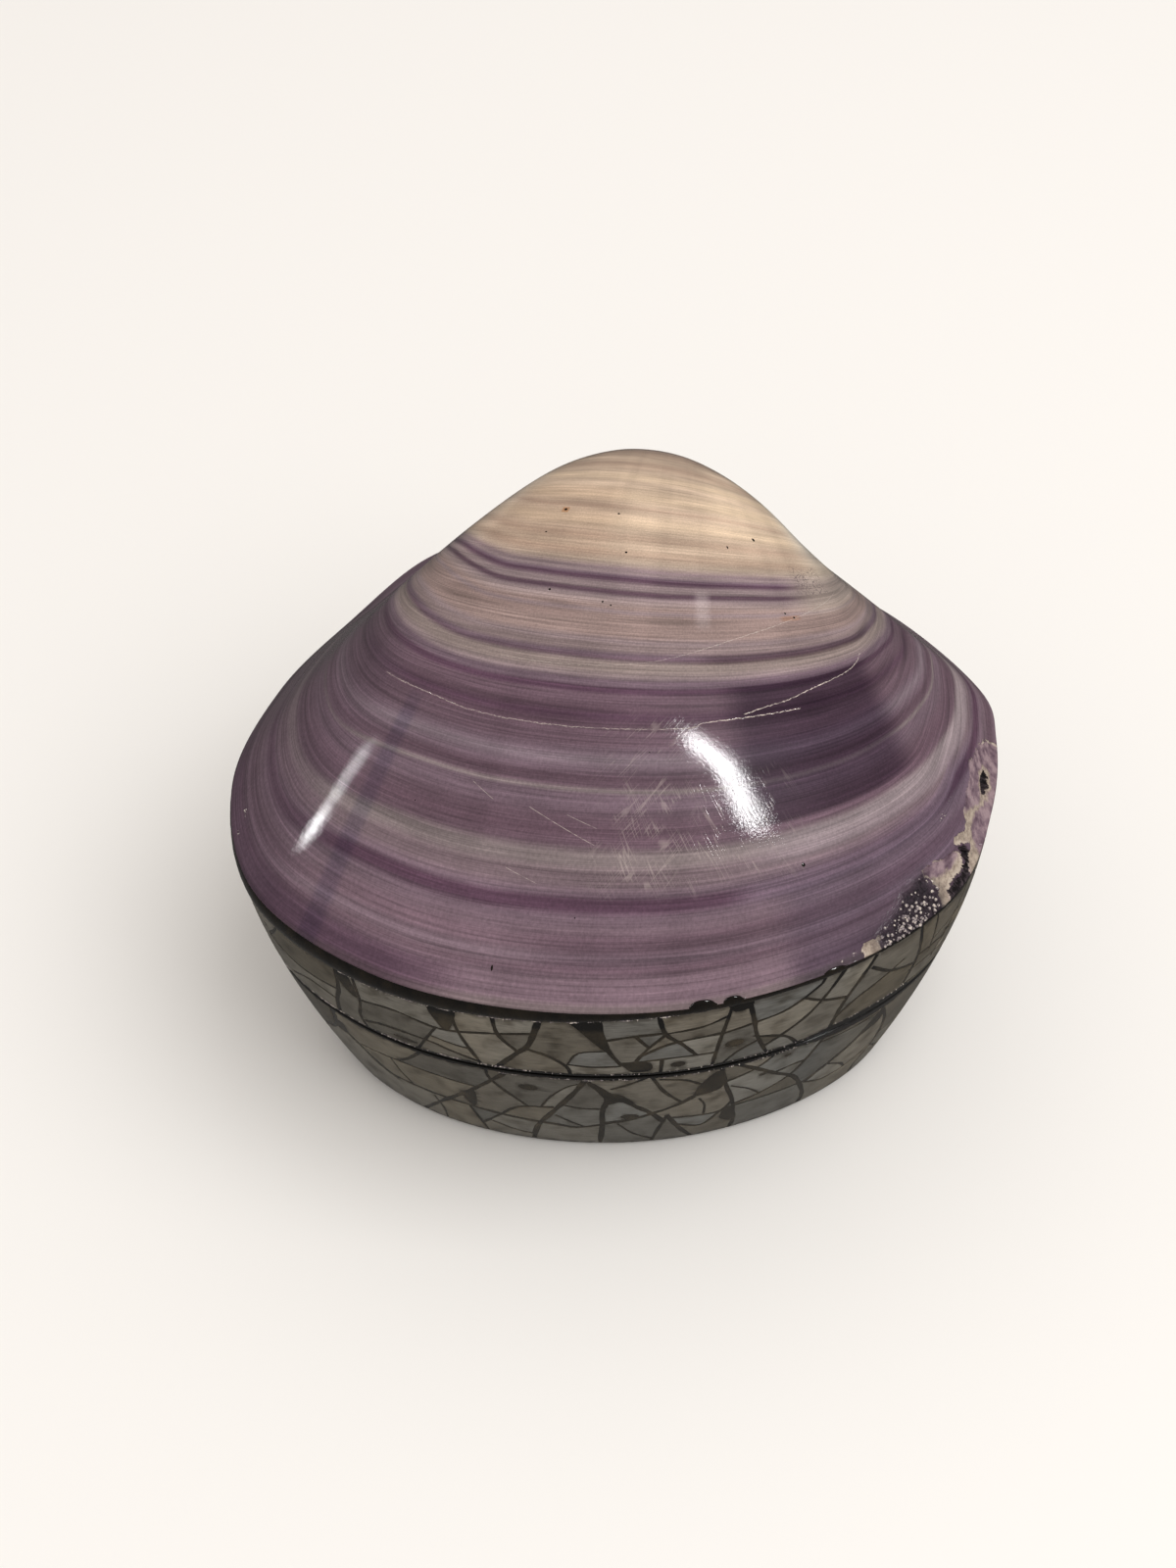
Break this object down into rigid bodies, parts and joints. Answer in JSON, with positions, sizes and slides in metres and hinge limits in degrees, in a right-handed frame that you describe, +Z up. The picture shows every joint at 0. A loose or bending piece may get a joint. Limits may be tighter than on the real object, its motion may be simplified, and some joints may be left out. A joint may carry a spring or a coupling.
{
  "type": "shell box",
  "caption": "Trinket box with a polished purple clam shell as its lift-off lid, on a hollow resin tray inlaid with cracked shell chips.",
  "frame": {"origin": "on the underside, below the middle of the shell's outline", "axes": "+X to the right along the shell's length, -Y to the front where the shell's open edge is, +Y to the beak and hinge line, +Z up"},
  "size_m": [0.0876, 0.0806, 0.0606],
  "materials": {
    "polished_shell": "natural purple and cream clam shell, banded, polished to a gloss, fine scratches, flaked at one edge",
    "dark_resin": "black-brown casting resin, glossy bead under the shell, satin elsewhere",
    "shell_chips": "grey nacre chips set flush in dark resin, rubbed to a satin gloss"
  },
  "bodies": {
    "root": {"shell_valve": "polished_shell", "lid_ring": "dark_resin", "lid_inlay": "shell_chips", "box_body": "dark_resin", "box_inlay": "shell_chips"}
  },
  "joints": []
}
